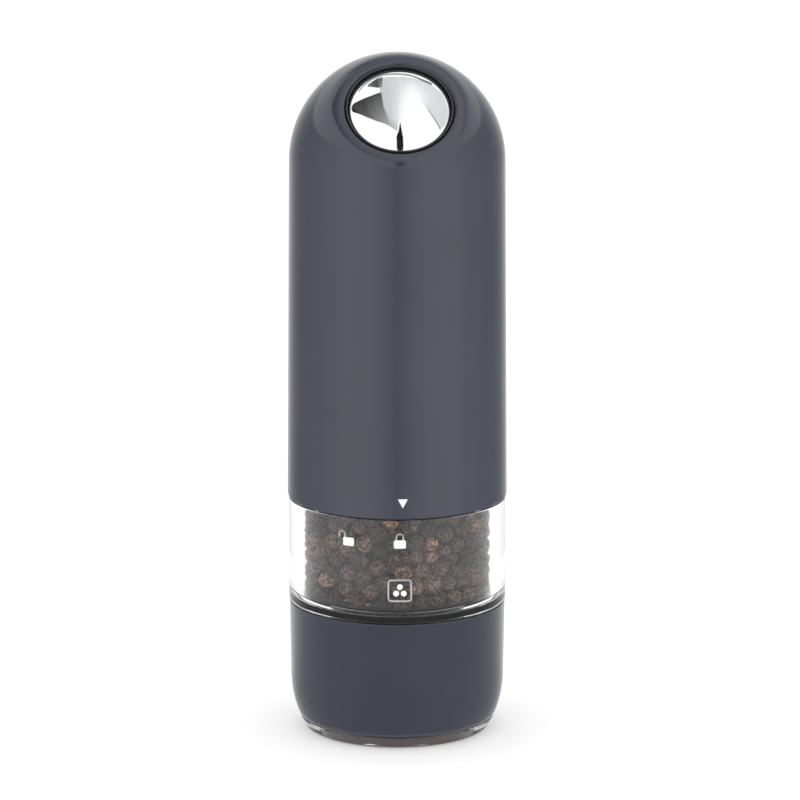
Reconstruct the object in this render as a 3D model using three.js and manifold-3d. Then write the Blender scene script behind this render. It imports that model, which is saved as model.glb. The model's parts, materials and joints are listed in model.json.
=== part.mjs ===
// Electric pepper mill with a push button: glossy cover over a motor block, clear chamber, steel burrs.
// Millimetres. Origin at the centre of the foot, +Z up, front (button side) towards -Y.
import * as THREE from 'three';
import { mergeVertices } from 'three/addons/utils/BufferGeometryUtils.js';
import Module from 'manifold-3d';

const wasm = await Module();
wasm.setup();

// ---- driving dimensions ----
const GAP = 0.3; // seating and running clearance between neighbouring pieces
const TAU = Math.PI * 2;

const DOME_R = 26.6; // outside of the cover at and above the dome's centre
const DOME_Z = 143.4;
const COVER_EDGE_R = 27.1; // outside of the cover at its lower edge
const COVER_EDGE_Z = 59.3;
const COVER_WALL = 2.1;

const WINDOW_R = 26.8; // clear band seen between the cover and the lower shell
const WINDOW_Z0 = 32.8;
const WINDOW_Z1 = COVER_EDGE_Z - GAP;
const NECK_R = 24.35; // clear neck under the cover, and clear skirt inside the lower shell
const NECK_Z1 = 74;
const CHAMBER_R = 23.2; // bore that holds the peppercorns
const CHAMBER_Z0 = 35.2;
const LEDGE_R = 16.5; // ledge under the chamber, open in the middle towards the burrs
const LEDGE_Z0 = 33.6;
const SKIRT_BORE_R = 20;
const SKIRT_Z0 = 6.2;

const SHELL_TOP_R = 26.65; // dark lower shell
const SHELL_STRAIGHT_R = 26.35;
const SHELL_STRAIGHT_Z = 15;
const SHELL_FOOT_R = 24.06;
const SHELL_FOOT_Z = 3.1;
const SHELL_BORE_R = 24.65;
const SHELL_FLOOR_Z = 5.9;
const SHELL_OPENING_R = 20.8;

const SHAFT_R = 3;
const HEX_R = 2.9; // across the corners of the shaft's driving end
const SOCKET_R = 3.35; // across the corners of the socket it plugs into

const SUN_TEETH = 12;
const PLANET_TEETH = 15;
const RING_TEETH = 42;
const MODULE_MM = 0.5;
const PLANETS = 3;
const PLANET_CENTRE_R = ((SUN_TEETH + PLANET_TEETH) * MODULE_MM) / 2;
const GEAR_Z0 = 82.7;
const GEAR_Z1 = 90.5;
const ADDENDUM = 0.4;
const DEDENDUM = 0.6;

const CELLS = 6; // AAA cells stand in a ring round the motor
const CELL_R = 5.2;
const CELL_CENTRE_R = 17.7;
const CELL_Z0 = 83.5;
const CELL_LENGTH = 44.5;
const PACK_R = 23.1; // outside of the cell carrier
const PILLAR_ANGLES = [30, 150, 270];

const BUTTON_TILT = (41 * Math.PI) / 180; // button axis leans from +Z towards -Y
const FACET_W = 21; // flat round the button, along the button axis from the dome's centre
const FACET_SOFTNESS = 1.2; // how gently the flat runs into the dome
const BUTTON_R = 12.4;
const BUTTON_EDGE_W = FACET_W - 0.5;
const BUTTON_TOP_W = FACET_W + 2;
const BUTTON_SKIRT_W = 16.6;
const BEZEL_R = 13.15;
const BEZEL_TOP_W = FACET_W + 0.35;

// ---- finishes: colour, roughness, metalness ----
const SLATE = [0x4c5059, 0.22, 0];
const CLEAR = [0xeef1f3, 0.04, 0];
const BLACK = [0x1d1f22, 0.5, 0];
const GREY = [0x8a8d90, 0.55, 0];
const CHROME = [0xdfe2e6, 0.06, 1];
const STEEL = [0xa9adb2, 0.32, 1];
const BRASS = [0xc39a4a, 0.35, 1];
const RUBBER = [0x2a2a2c, 0.8, 0];
const NYLON = [0xe6e4dc, 0.5, 0];
const GREEN = [0x1f6a3f, 0.45, 0];
const WRAP = [0x33587e, 0.4, 0.2];
const RED = [0xb02a25, 0.5, 0];

const group = new THREE.Group();
group.name = 'electric_pepper_mill';

// ---- helpers ----
function welded(source) {
  source.deleteAttribute('normal');
  if (source.getAttribute('uv')) source.deleteAttribute('uv');
  source.clearGroups();
  const g = mergeVertices(source, 1e-4);
  const index = g.getIndex().array;
  const p = g.getAttribute('position');
  const kept = [];
  let volume = 0;
  const [a, b, c] = [new THREE.Vector3(), new THREE.Vector3(), new THREE.Vector3()];
  for (let i = 0; i < index.length; i += 3) {
    const tri = [index[i], index[i + 1], index[i + 2]];
    if (new Set(tri).size < 3) continue;
    kept.push(...tri);
    a.fromBufferAttribute(p, tri[0]);
    b.fromBufferAttribute(p, tri[1]);
    c.fromBufferAttribute(p, tri[2]);
    volume += a.dot(b.cross(c));
  }
  if (volume < 0) for (let i = 0; i < kept.length; i += 3) [kept[i], kept[i + 1]] = [kept[i + 1], kept[i]];
  g.setIndex(kept);
  return g;
}

function solid(geometry) {
  const vertProperties = new Float32Array(geometry.getAttribute('position').array);
  const triVerts = new Uint32Array(geometry.getIndex().array);
  return new wasm.Manifold(new wasm.Mesh({ numProp: 3, vertProperties, triVerts }));
}

function surface(manifold) {
  const mesh = manifold.getMesh();
  const g = new THREE.BufferGeometry();
  g.setAttribute('position', new THREE.BufferAttribute(new Float32Array(mesh.vertProperties), 3));
  g.setIndex(new THREE.BufferAttribute(new Uint32Array(mesh.triVerts), 1));
  return g;
}

const joined = (first, ...rest) => surface(rest.reduce((sum, g) => sum.add(solid(g)), solid(first)));
const cut = (first, ...rest) => surface(rest.reduce((left, g) => left.subtract(solid(g)), solid(first)));

function add(name, geometry, [color, roughness, metalness]) {
  geometry.computeVertexNormals();
  const mesh = new THREE.Mesh(geometry, new THREE.MeshStandardMaterial({ color, roughness, metalness }));
  mesh.name = name;
  group.add(mesh);
}

// Turned part from a [radius, height] profile; a profile that is off the axis is closed on itself.
function turned(profile, segments = 32) {
  const points = profile.map(([r, z]) => new THREE.Vector2(r, z));
  if (profile[0][0] > 0) points.push(points[0].clone());
  return welded(new THREE.LatheGeometry(points, segments).rotateX(Math.PI / 2));
}

const tube = (r0, r1, z0, z1, segments) => turned([[r0, z0], [r1, z0], [r1, z1], [r0, z1]], segments);
const disc = (r, z0, z1, segments) => turned([[0, z0], [r, z0], [r, z1], [0, z1]], segments);

function plate(shape, z0, z1, curveSegments = 10) {
  const g = new THREE.ExtrudeGeometry(shape, { depth: z1 - z0, bevelEnabled: false, curveSegments });
  return welded(g.translate(0, 0, z0));
}

function block(x, y, z, cx, cy, cz) {
  return welded(new THREE.BoxGeometry(x, y, z).translate(cx, cy, cz));
}

const degrees = (d) => (d * Math.PI) / 180;
const polar = (r, d) => [r * Math.cos(degrees(d)), r * Math.sin(degrees(d))];
const at = (geometry, r, d) => geometry.clone().translate(...polar(r, d), 0);
const turnedBy = (geometry, d) => geometry.clone().rotateZ(degrees(d));
const tilted = (geometry) => geometry.rotateX(BUTTON_TILT).translate(0, 0, DOME_Z);

// Arc of a circle as profile points, angles in degrees.
function arc(cr, cz, radius, from, to, steps) {
  return Array.from({ length: steps + 1 }, (_, i) => {
    const a = degrees(from + ((to - from) * i) / steps);
    const r = cr + radius * Math.cos(a);
    return [Math.abs(r) < 1e-6 ? 0 : r, cz + radius * Math.sin(a)];
  });
}

// Toothed outline with straight-sided teeth; a negative addendum direction gives an internal ring.
function toothed(teeth, outward, phaseDeg, Outline = THREE.Shape) {
  const pitch = (teeth * MODULE_MM) / 2;
  const tip = pitch + outward * ADDENDUM;
  const root = pitch - outward * DEDENDUM;
  const step = 360 / teeth;
  const outline = new Outline();
  for (let i = 0; i < teeth; i += 1) {
    for (const [r, share] of [[root, -0.25], [tip, -0.11], [tip, 0.11], [root, 0.25]]) {
      const [x, y] = polar(r, phaseDeg + step * (i + share));
      if (i === 0 && share === -0.25) outline.moveTo(x, y);
      else outline.lineTo(x, y);
    }
  }
  outline.closePath();
  return outline;
}

// Ring-shaped body through levels of { z, outer(i), inner(i), twist }, with `count` corners on each outline.
function ridgedRing(levels, count) {
  const position = [];
  for (const { z, outer, inner, twist = 0 } of levels) {
    for (const radius of [outer, inner]) {
      for (let i = 0; i < count; i += 1) position.push(...polar(radius(i), (360 * i) / count + twist), z);
    }
  }
  const index = [];
  const quad = (a, b, c, d) => index.push(a, b, c, a, c, d);
  const last = levels.length - 1;
  const row = 2 * count;
  for (let i = 0; i < count; i += 1) {
    const j = (i + 1) % count;
    for (let l = 0; l < last; l += 1) {
      quad(l * row + i, l * row + j, (l + 1) * row + j, (l + 1) * row + i);
      quad(l * row + count + j, l * row + count + i, (l + 1) * row + count + i, (l + 1) * row + count + j);
    }
    quad(j, i, count + i, count + j);
    quad(last * row + i, last * row + j, last * row + count + j, last * row + count + i);
  }
  const g = new THREE.BufferGeometry();
  g.setAttribute('position', new THREE.Float32BufferAttribute(position, 3));
  g.setIndex(index);
  return g;
}

class Helix extends THREE.Curve {
  constructor(radius, z0, z1, turns) {
    super();
    Object.assign(this, { radius, z0, z1, turns });
  }

  getPoint(t) {
    const a = TAU * this.turns * t;
    const z = this.z0 + (this.z1 - this.z0) * t;
    return new THREE.Vector3(this.radius * Math.cos(a), this.radius * Math.sin(a), z);
  }
}

function wire(path, radius, steps, sides = 6) {
  const section = new THREE.Shape();
  for (let i = 0; i < sides; i += 1) {
    const a = (TAU * i) / sides;
    if (i === 0) section.moveTo(radius, 0);
    else section.lineTo(radius * Math.cos(a), radius * Math.sin(a));
  }
  section.closePath();
  return welded(new THREE.ExtrudeGeometry(section, { steps, extrudePath: path, bevelEnabled: false }));
}

const coil = (radius, wireR, z0, z1, turns) =>
  wire(new Helix(radius, z0 + wireR, z1 - wireR, turns), wireR, Math.round(turns * 10), 4);

function hexagon(radius, z0, z1) {
  const shape = new THREE.Shape();
  for (let i = 0; i < 6; i += 1) {
    const [x, y] = polar(radius, 60 * i);
    if (i === 0) shape.moveTo(x, y);
    else shape.lineTo(x, y);
  }
  shape.closePath();
  return plate(shape, z0, z1);
}

function sector(r0, r1, from, to) {
  const shape = new THREE.Shape();
  shape.absarc(0, 0, r1, degrees(from), degrees(to), false);
  shape.absarc(0, 0, r0, degrees(to), degrees(from), true);
  shape.closePath();
  return shape;
}

// ---- lower part: shell, clear body, foot ring ----
const shellRadius = (z) => {
  if (z >= SHELL_STRAIGHT_Z) {
    const t = (z - SHELL_STRAIGHT_Z) / (WINDOW_Z0 - SHELL_STRAIGHT_Z);
    return SHELL_STRAIGHT_R + (SHELL_TOP_R - SHELL_STRAIGHT_R) * t;
  }
  const t = (SHELL_STRAIGHT_Z - z) / (SHELL_STRAIGHT_Z - SHELL_FOOT_Z);
  return SHELL_STRAIGHT_R - (SHELL_STRAIGHT_R - SHELL_FOOT_R) * t ** 2.4;
};
const shellTop = WINDOW_Z0 - GAP;
const shellCurve = [SHELL_FOOT_Z, 4.4, 6, 8.4, 11, SHELL_STRAIGHT_Z, shellTop - 0.25];
add('lower_shell', turned([
  [SHELL_OPENING_R, SHELL_FLOOR_Z], [SHELL_OPENING_R, SHELL_FOOT_Z],
  ...shellCurve.map((z) => [shellRadius(z), z]),
  [SHELL_TOP_R - 0.25, shellTop], [SHELL_BORE_R, shellTop], [SHELL_BORE_R, 9], [23.4, SHELL_FLOOR_Z],
], 60), SLATE);

add('clear_body', turned([
  [LEDGE_R, LEDGE_Z0], [LEDGE_R, CHAMBER_Z0], [CHAMBER_R, CHAMBER_Z0], [CHAMBER_R, NECK_Z1],
  [NECK_R, NECK_Z1], [NECK_R, WINDOW_Z1], [WINDOW_R - 0.3, WINDOW_Z1], [WINDOW_R, WINDOW_Z1 - 0.3],
  [WINDOW_R, WINDOW_Z0 + 0.3], [WINDOW_R - 0.3, WINDOW_Z0], [NECK_R, WINDOW_Z0],
  [NECK_R, 9.4], [23.2, SKIRT_Z0], [SKIRT_BORE_R, SKIRT_Z0], [SKIRT_BORE_R, LEDGE_Z0],
], 60), CLEAR);

add('foot_ring', turned([
  [18.6, SHELL_FLOOR_Z], [18.6, 0], [22.2, 0], [22.75, 0.35], [24, 2.8], [20.45, 2.8],
  [20.45, SHELL_FLOOR_Z],
], 60), CLEAR);

// ---- grinder ----
const CARRIER_R = SKIRT_BORE_R - GAP;
const CARRIER_TOP = LEDGE_Z0 - GAP;
const SCREW_R = 18.35;
const SCREW_ANGLES = [90, 210, 330];
const spoke = block(10.2, 3, 2.6, 10.1, 0, 29.8);
add('grinder_carrier', cut(
  joined(
    turned([
      [15.3, CARRIER_TOP], [13.9, 28.6], [14.4, 27.5], [17.4, 27.5], [17.4, 11], [CARRIER_R, 11],
      [CARRIER_R, CARRIER_TOP],
    ], 32),
    tube(4.75, 6.1, 28.5, 32.4, 16),
    ...SCREW_ANGLES.map((d) => turnedBy(spoke, d)),
  ),
  ...SCREW_ANGLES.map((d) => at(disc(1.05, 10, 15.4, 6), SCREW_R, d)),
), BLACK);
add('shaft_bush', turned([
  [3.3, 28.3], [4.45, 28.3], [4.45, 32.7], [5.6, 32.7], [5.6, 33.4], [3.3, 33.4],
], 16), BRASS);

const statorTip = (z) => (z < 15 ? 13.7 - (z - 11.3) * 0.27 : 12.7 + (z - 15) * 0.075);
const statorLevel = (z, twist) => ({
  z, twist, outer: () => 17.1, inner: (i) => statorTip(z) + (i % 2 ? 0.9 : 0),
});
add('stator_burr', ridgedRing([statorLevel(11.3, 0), statorLevel(15, 3), statorLevel(27.2, 12)], 40), STEEL);

const clampRing = tube(14.2, 19.5, 8.3, 10.7, 24);
const clampHoles = SCREW_ANGLES.map((d) => at(disc(1.05, 7, 12, 6), SCREW_R, d));
add('burr_clamp_ring', cut(clampRing, ...clampHoles), GREY);
SCREW_ANGLES.forEach((d, i) => {
  const screw = turned([[0, 6.6], [1.2, 6.6], [1.5, 7], [1.5, 8], [0.7, 8], [0.7, 14.6], [0, 15]], 8);
  add(`carrier_screw_${i + 1}`, at(screw, SCREW_R, d), STEEL);
});

add('drive_shaft', joined(
  turned([[0, 3.4], [1.7, 3.4], [2, 3.7], [2, 9.3], [SHAFT_R, 9.3], [SHAFT_R, 66], [0, 66]], 16),
  hexagon(HEX_R, 65.5, 76),
), STEEL);
add('shaft_clip', plate(sector(3.3, 5.1, 25, 335), 33.8, 34.6, 9), STEEL);
add('grinder_spring', coil(4.3, 0.45, 24.8, 28, 2.5), STEEL);

const rotorTip = (z) => 12.9 - (z - 11.3) * 0.3;
const rotorLevel = (z, twist, depth) => ({
  z, twist, inner: () => 3.3,
  outer: (i) => (z < 11.3 ? 12.9 : rotorTip(z)) - [0, depth, depth * 0.7][i % 3],
});
add('rotor_burr', ridgedRing([
  rotorLevel(9.6, -2, 0.7), rotorLevel(11.3, 0, 0.7), rotorLevel(24.4, 28, 2),
], 36), STEEL);

add('adjuster_knob', ridgedRing([
  { z: 2.6, outer: (i) => [8.6, 9.1, 9.1][i % 3], inner: () => 2.3 },
  { z: 9, outer: (i) => [8.9, 9.5, 9.5][i % 3], inner: () => 2.3 },
], 30), BLACK);

// ---- motor block ----
const CHASSIS_Z = NECK_Z1 + GAP;
const FLANGE_Z1 = 76.8;
const PLUG_R = CHAMBER_R - 0.4; // closes the top of the chamber
const LED_R = 18;
add('motor_chassis', cut(
  turned([
    [5.2, 67.5], [PLUG_R - 0.3, 67.5], [PLUG_R, 67.8], [PLUG_R, 69.9], [PLUG_R - 1, 69.9],
    [PLUG_R - 1, 71.7], [PLUG_R, 71.7], [PLUG_R, CHASSIS_Z], [24.2, CHASSIS_Z], [24.2, FLANGE_Z1],
    [20.2, FLANGE_Z1], [20.2, 80.1],
    [12.4, 80.1], [12.4, 77.5], [5.2, 77.5],
  ], 30),
  at(disc(1.9, 67, 81, 8), LED_R, 90),
), GREY);
add('seal_ring', turned([
  [PLUG_R - 0.7, 70.3], [PLUG_R - 0.1, 70.2], [PLUG_R + 0.15, 70.8], [PLUG_R - 0.1, 71.4],
  [PLUG_R - 0.7, 71.3],
], 32), RUBBER);
const ledBulb = turned([[0, 74.6], [1.2, 74.9], [1.5, 75.6], [1.5, 79.7], [0, 79.7]], 8);
add('clear_body_led', at(ledBulb, LED_R, 90), NYLON);

const lug = block(2.2, 5, 2.7, 23, 0, 78.45);
const lugs = PILLAR_ANGLES.map((d) => turnedBy(lug, d));
add('lock_ring', joined(tube(20.55, 23.1, 77.1, 79.8, 30), ...lugs), BLACK);

const pillar = disc(1.9, 82, 128.8, 8);
add('cell_tray', joined(
  tube(12.4, PACK_R, 80.4, 82.4, 32),
  ...PILLAR_ANGLES.map((d) => at(pillar, 19.5, d)),
), BLACK);
const boardPosts = [0, 180];
add('cell_tray_cap', joined(
  tube(6, PACK_R, 129.1, 131.1, 32),
  ...boardPosts.map((d) => at(tube(1.3, 2.5, 130.9, 132.9, 8), 15, d)),
), BLACK);

const ringOutline = new THREE.Shape();
ringOutline.absarc(0, 0, 12.1, 0, TAU, false);
ringOutline.holes.push(toothed(RING_TEETH, -1, 90 + 180 / RING_TEETH, THREE.Path));
add('gearbox_housing', joined(
  plate(ringOutline, 79.2, 93.5, 14),
  tube(5.5, 12, 77.8, 79.4, 28),
), GREY);
add('gearbox_cover', tube(1.4, 12.1, 93.8, 95, 20), GREY);

const planetAngles = Array.from({ length: PLANETS }, (_, i) => 90 + 120 * i);
const planetPin = disc(1.1, 81.5, 91, 6);
add('gear_carrier', cut(
  joined(
    tube(2, 4.9, 68.5, 82, 16),
    disc(9.4, 80, 82.3, 20),
    ...planetAngles.map((d) => at(planetPin, PLANET_CENTRE_R, d)),
  ),
  hexagon(SOCKET_R, 60, 77),
), STEEL);
planetAngles.forEach((d, i) => {
  const outline = toothed(PLANET_TEETH, 1, d);
  const bore = new THREE.Path();
  bore.absarc(0, 0, 1.4, 0, TAU, true);
  outline.holes.push(bore);
  add(`planet_gear_${i + 1}`, at(plate(outline, GEAR_Z0, GEAR_Z1, 4), PLANET_CENTRE_R, d), NYLON);
});
add('motor_pinion', joined(
  plate(toothed(SUN_TEETH, 1, 90), GEAR_Z0, GEAR_Z1 + 0.3),
  disc(1, GEAR_Z1, 99, 8),
), STEEL);

add('motor_can', turned([
  [0, 100], [1.4, 100], [1.4, 95.3], [11.2, 95.3], [11.9, 96.2], [11.9, 122.3], [0, 122.3],
], 24), STEEL);
add('motor_end_bell', turned([[0, 122.6], [11.4, 122.6], [11.4, 125], [4, 125.6], [0, 125.6]], 16), BLACK);
[-1, 1].forEach((side, i) => {
  add(`motor_terminal_${i + 1}`, block(0.5, 2.4, 1.9, side * 5, 0, 127), BRASS);
  const lead = new THREE.CatmullRomCurve3([
    new THREE.Vector3(side * 4.2, 0, 126.4), new THREE.Vector3(side * 4.1, 0.4, 129.5),
    new THREE.Vector3(side * 4.3, 0, 132.8),
  ]);
  add(`motor_wire_${i + 1}`, wire(lead, 0.45, 6), i ? RED : BLACK);
});

for (let i = 0; i < CELLS; i += 1) {
  const top = CELL_Z0 + CELL_LENGTH;
  const cell = turned([
    [0, CELL_Z0], [CELL_R, CELL_Z0], [CELL_R, top - 0.8], [1.9, top - 0.8], [1.9, top], [0, top],
  ], 14);
  if (i % 2) cell.translate(0, 0, -top).rotateX(Math.PI).translate(0, 0, CELL_Z0);
  add(`cell_${i + 1}`, at(cell, CELL_CENTRE_R, 60 * i), WRAP);
}
const bridge = (from, to, z) => plate(sector(13.4, 17.2, from, to), z, z + 0.5, 3);
[0, 120, 240].forEach((d, i) => add(`contact_bottom_${i + 1}`, bridge(d - 8, d + 68, 82.7), STEEL));
[60, 180].forEach((d, i) => add(`contact_top_${i + 1}`, bridge(d - 8, d + 68, 128.3), STEEL));
[0, 300].forEach((d, i) => add(`contact_end_${i + 1}`, bridge(d - 8, d + 8, 128.3), STEEL));

const boardShape = new THREE.Shape();
boardShape.absarc(0, 0, 19.3, degrees(-60), degrees(240), false);
boardShape.closePath();
boardPosts.forEach((d) => {
  const hole = new THREE.Path();
  hole.absarc(...polar(15, d), 1.2, 0, TAU, true);
  boardShape.holes.push(hole);
});
const BOARD_Z1 = 134.8;
add('circuit_board', plate(boardShape, 133.2, BOARD_Z1, 12), GREEN);
boardPosts.forEach((d, i) => {
  const screw = turned([[0, 131.6], [0.9, 131.6], [0.9, 135.1], [2, 135.1], [2, 136], [0, 136.3]], 8);
  add(`board_screw_${i + 1}`, at(screw, 15, d), STEEL);
});

// ---- switch under the button, square to the button's axis ----
const SWITCH_HALF = 4.5;
const SWITCH_DEPTH = 6;
const seatPoint = (across) => [
  (SWITCH_DEPTH + GAP) * Math.sin(BUTTON_TILT) + across * Math.cos(BUTTON_TILT),
  DOME_Z - (SWITCH_DEPTH + GAP) * Math.cos(BUTTON_TILT) + across * Math.sin(BUTTON_TILT),
];
const [seatLow, seatHigh] = [seatPoint(-SWITCH_HALF), seatPoint(SWITCH_HALF)];
const wedge = new THREE.Shape([
  [seatLow[0], BOARD_Z1 + GAP], [9.6, BOARD_Z1 + GAP], [9.6, seatHigh[1]], seatHigh, seatLow,
].map(([y, z]) => new THREE.Vector2(y, z)));
add('switch_bracket', plate(wedge, -SWITCH_HALF, SWITCH_HALF).applyMatrix4(
  new THREE.Matrix4().set(0, 0, 1, 0, 1, 0, 0, 0, 0, 1, 0, 0, 0, 0, 0, 1),
), GREY);
const switchBody = block(2 * SWITCH_HALF, 2 * SWITCH_HALF, SWITCH_DEPTH, 0, 0, -SWITCH_DEPTH / 2);
add('microswitch', tilted(cut(switchBody, disc(1.6, -4, 1, 8))), BLACK);
const plunger = turned([[0, -2], [1.2, -2], [1.2, 1.8], [3, 1.8], [3, 2.8], [0, 2.8]], 12);
add('switch_plunger', tilted(plunger), RED);

// ---- cover with the button's bezel, guide and spring ----
const coverInnerR = DOME_R - COVER_WALL;
const buttonAxis = new THREE.Vector3(0, -Math.sin(BUTTON_TILT), Math.cos(BUTTON_TILT));

// Presses a flat into the dome, square to the button axis; `inset` is the depth below the outside.
function flattened(geometry, inset) {
  const p = geometry.getAttribute('position');
  const v = new THREE.Vector3();
  for (let i = 0; i < p.count; i += 1) {
    v.fromBufferAttribute(p, i);
    v.z -= DOME_Z;
    const along = v.dot(buttonAxis);
    const radius = v.length();
    const isOuter = radius > DOME_R - COVER_WALL / 2;
    if (v.z < -1 || along <= 0 || isOuter !== (inset === 0)) continue;
    const flat = (radius * (FACET_W - inset)) / along;
    const blend = Math.max(FACET_SOFTNESS - Math.abs(radius - flat), 0) / FACET_SOFTNESS;
    const pressed = Math.min(radius, flat) - (blend * blend * FACET_SOFTNESS) / 4;
    v.multiplyScalar(pressed / radius);
    p.setXYZ(i, v.x, v.y, v.z + DOME_Z);
  }
  return geometry;
}
const rib = block(2.2, 1.5, 3, 24.5, 0, 78.7);
const ribOffset = 4.5;
const ribAt = (d, side) => turnedBy(rib.clone().translate(0, side, 0), d);
const ribs = PILLAR_ANGLES.flatMap((d) => [ribAt(d, -ribOffset), ribAt(d, ribOffset)]);
add('cover_shell', cut(
  joined(
    flattened(flattened(turned([
      ...arc(0, DOME_Z, DOME_R, 90, 0, 14),
      [COVER_EDGE_R, COVER_EDGE_Z + 0.4], [COVER_EDGE_R - 0.4, COVER_EDGE_Z],
      [COVER_EDGE_R - COVER_WALL, COVER_EDGE_Z],
      ...arc(0, DOME_Z, coverInnerR, 0, 90, 6),
    ], 60), COVER_WALL), 0),
    ...ribs,
  ),
  tilted(disc(BEZEL_R + GAP, 8, 40, 40)),
), SLATE);
add('button_bezel', tilted(turned([
  [BUTTON_R + GAP, 16.1], [15, 16.1], [15, 17.2], [BEZEL_R, 17.8], [BEZEL_R, BEZEL_TOP_W - 0.25],
  [BEZEL_R - 0.25, BEZEL_TOP_W], [BUTTON_R + GAP, BEZEL_TOP_W],
], 40)), BLACK);
add('button_guide', tilted(turned([
  [2.6, 11.2], [15, 11.2], [15, 15.8], [13.7, 15.8], [13.7, 12.7], [2.6, 12.7],
], 24)), GREY);
add('button_spring', tilted(coil(8, 0.4, 13, 15.7, 2.5)), STEEL);

const capRise = BUTTON_TOP_W - BUTTON_EDGE_W;
const capR = ((BUTTON_R - 0.25) ** 2 + capRise ** 2) / (2 * capRise);
const capAngle = (Math.asin((BUTTON_R - 0.25) / capR) * 180) / Math.PI;
add('button_cap', tilted(turned([
  [0, 20], [11.3, 20], [11.3, BUTTON_SKIRT_W], [BUTTON_R, BUTTON_SKIRT_W], [BUTTON_R, BUTTON_EDGE_W - 0.25],
  ...arc(0, BUTTON_TOP_W - capR, capR, 90 - capAngle, 90, 4),
], 40)), CHROME);
add('button_stem', tilted(turned([
  [0, 3.8], [1.3, 4.23], [2.2, 6], [2.2, 18], [10.9, 18], [10.9, 19.7], [0, 19.7],
], 16)), NYLON);

export default group;
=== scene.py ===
"""Looks of the electric pepper mill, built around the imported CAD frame. Metres, +Z up, front towards -Y."""

import json
import math

import bmesh
import bpy
import numpy as np
from mathutils import Matrix, Vector


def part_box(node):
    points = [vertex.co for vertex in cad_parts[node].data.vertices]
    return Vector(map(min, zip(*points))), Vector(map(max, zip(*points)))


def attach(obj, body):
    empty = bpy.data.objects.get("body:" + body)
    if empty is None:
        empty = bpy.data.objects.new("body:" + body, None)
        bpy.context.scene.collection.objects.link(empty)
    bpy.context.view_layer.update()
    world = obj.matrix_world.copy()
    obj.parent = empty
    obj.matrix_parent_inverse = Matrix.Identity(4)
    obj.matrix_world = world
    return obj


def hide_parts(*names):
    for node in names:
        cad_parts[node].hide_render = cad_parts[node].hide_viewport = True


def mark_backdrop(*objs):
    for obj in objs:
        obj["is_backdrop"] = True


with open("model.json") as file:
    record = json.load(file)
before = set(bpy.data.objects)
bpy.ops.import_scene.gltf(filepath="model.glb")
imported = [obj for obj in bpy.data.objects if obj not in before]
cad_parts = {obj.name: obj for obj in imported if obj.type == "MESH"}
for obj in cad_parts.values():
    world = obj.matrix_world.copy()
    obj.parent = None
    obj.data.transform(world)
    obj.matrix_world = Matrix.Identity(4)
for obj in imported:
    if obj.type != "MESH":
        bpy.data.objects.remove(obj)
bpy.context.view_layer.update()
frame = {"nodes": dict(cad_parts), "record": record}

MM = 0.001
AROUND = 160  # steps round the turned pieces

# Driving sizes in millimetres, the same as the solids'.
DOME_R = 26.6
DOME_Z = 143.4
COVER_EDGE_R = 27.1
COVER_EDGE_Z = 59.3
COVER_WALL = 2.1
HOLE_R = 13.45
FACET_W = 21.0
FACET_SOFTNESS = 1.2
BUTTON_TILT = math.radians(41)
BUTTON_R = 12.4
BUTTON_RISE = 2.5
BUTTON_EDGE_W = FACET_W - 0.5
BEZEL_R = 13.15
BEZEL_TOP_W = FACET_W + 0.35
WINDOW_R = 26.8
WINDOW_Z0 = 32.8
WINDOW_Z1 = 59.0
NECK_R = 24.35
NECK_Z1 = 74.0
CHAMBER_R = 23.2
CHAMBER_Z0 = 35.2
LEDGE_R = 16.5
LEDGE_Z0 = 33.6
SKIRT_BORE_R = 20.0
SKIRT_Z0 = 6.2
SHELL_TOP_R = 26.65
SHELL_STRAIGHT_R = 26.35
SHELL_STRAIGHT_Z = 15.0
SHELL_FOOT_R = 24.06
SHELL_FOOT_Z = 3.1
SHELL_FLOOR_Z = 5.9
SHELL_INNER_R = 24.65
SHELL_INNER_Z = 9.0
SHELL_THROAT_R = 23.4
SHELL_OPENING_R = 20.8
SKIRT_CHAMFER_R = 23.2
SKIRT_CHAMFER_Z = 9.4
FOOT_BORE_R = 18.6
FOOT_SOLE_R = 22.2
FOOT_EDGE_R = 22.75
FOOT_EDGE_Z = 0.35
FOOT_TOP_R = 24.0
FOOT_TOP_Z = 2.8
FOOT_SPIGOT_R = 20.45
CAP_WALL_R = 11.3
CAP_SKIRT_W = 16.6
CAP_INNER_W = 20.0
BEZEL_FLANGE_R = 15.0
BEZEL_FLANGE_W0 = 16.1
BEZEL_FLANGE_W1 = 17.2
BEZEL_NECK_W = 17.8
RIB_ANGLES = (30, 150, 270)
RIB_OFFSET = 4.5
RIB_R = (23.5, 24.9)
RIB_Z = (77.2, 80.2)
RIB_HALF_THICKNESS = 0.75
MARK_TURN = -1.2  # degrees round from the front
OPEN_MARK_TURN = -29.0
POINTER_TURN = 0.3
LOCK_MARK_Z = 53.9
BADGE_Z = 41.3
POINTER_Z = 63.4
PEPPER_TOP_Z = 66.5
PEPPER_INNER_R = 12.0

CAMERA_TURN = math.radians(-2.6)  # the camera stands a little to the mill's left
TENT_TOP = 1.143  # height of the light tent's roof in metres

button_axis = Vector((0, -math.sin(BUTTON_TILT), math.cos(BUTTON_TILT)))
to_button = Matrix.Translation((0, 0, DOME_Z * MM)) @ Matrix.Rotation(BUTTON_TILT, 4, "X")


# ---------------------------------------------------------------- materials
def material(name, metallic=0.0, roughness=0.4, specular=0.5, **sockets):
    """A Principled material and its node tree, with constants set on the shader's own sockets."""
    m = bpy.data.materials.new(name)
    m.use_nodes = True
    shader = m.node_tree.nodes["Principled BSDF"]
    shader.inputs["Metallic"].default_value = metallic
    shader.inputs["Roughness"].default_value = roughness
    shader.inputs["Specular IOR Level"].default_value = specular
    for socket, value in sockets.items():
        shader.inputs[socket.replace("_", " ")].default_value = value
    return m, m.node_tree, shader


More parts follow.
